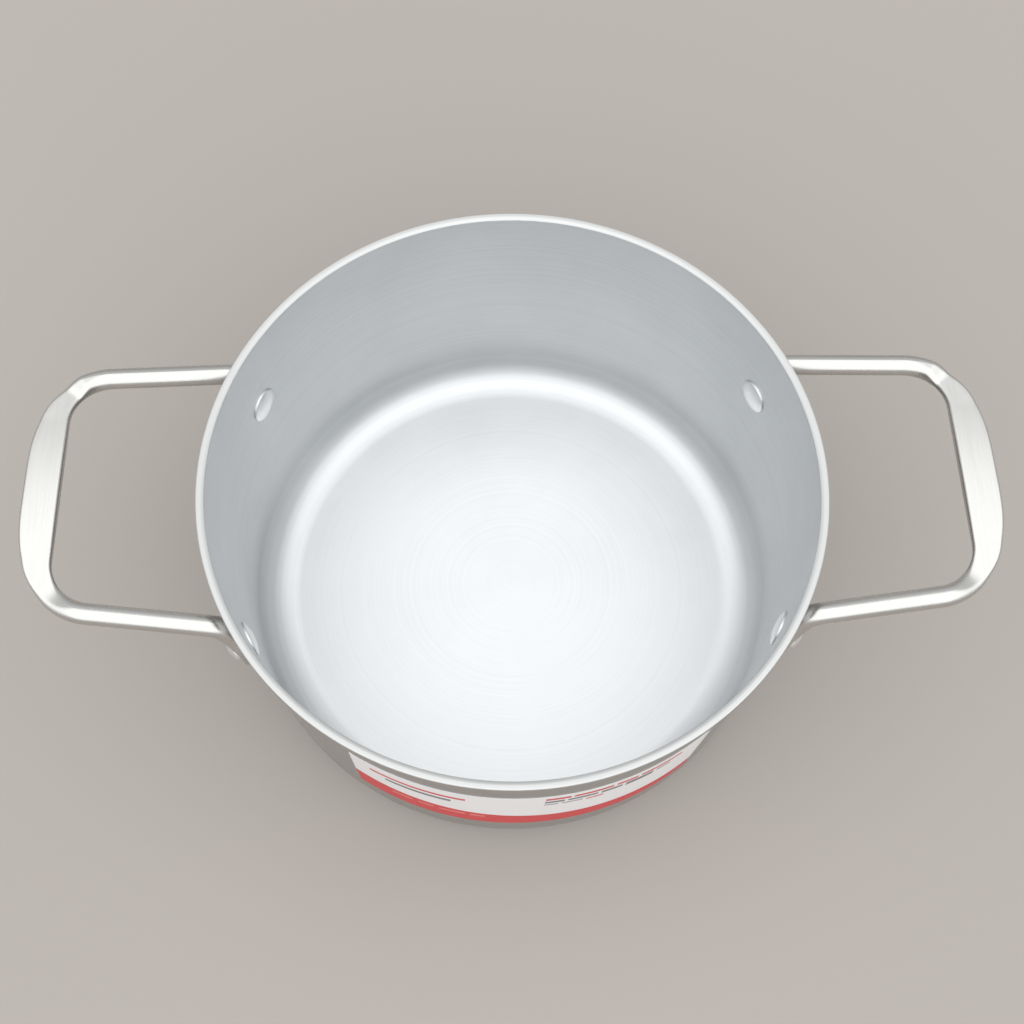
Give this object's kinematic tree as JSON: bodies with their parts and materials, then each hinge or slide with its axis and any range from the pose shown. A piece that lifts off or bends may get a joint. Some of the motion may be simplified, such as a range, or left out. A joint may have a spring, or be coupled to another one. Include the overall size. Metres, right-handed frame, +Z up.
{
  "type": "stock pot",
  "caption": "Open round aluminium pot with a rolled lip, slightly tapered wall, rounded floor corner, riveted bent-rod loop handles and a wrap label.",
  "frame": {"origin": "centre of the base, on the plane the foot ring stands on", "axes": "+Z up along the pot's axis, +X through the middle of the right handle's grip, -Y to the front, where the label is"},
  "size_m": [0.375, 0.241, 0.123],
  "materials": {
    "body_aluminium": "satin anodised",
    "handle_steel": "polished rod, grip face brushed along its length",
    "rivet_aluminium": "satin, formed heads",
    "label_film": "glossy printed wrap label, white with a red lower band"
  },
  "bodies": {
    "root": {"pot_body": "body_aluminium", "handle_left": "handle_steel", "handle_right": "handle_steel", "rivet_left_front": "rivet_aluminium", "rivet_left_rear": "rivet_aluminium", "rivet_right_front": "rivet_aluminium", "rivet_right_rear": "rivet_aluminium", "label": "label_film"}
  },
  "joints": []
}
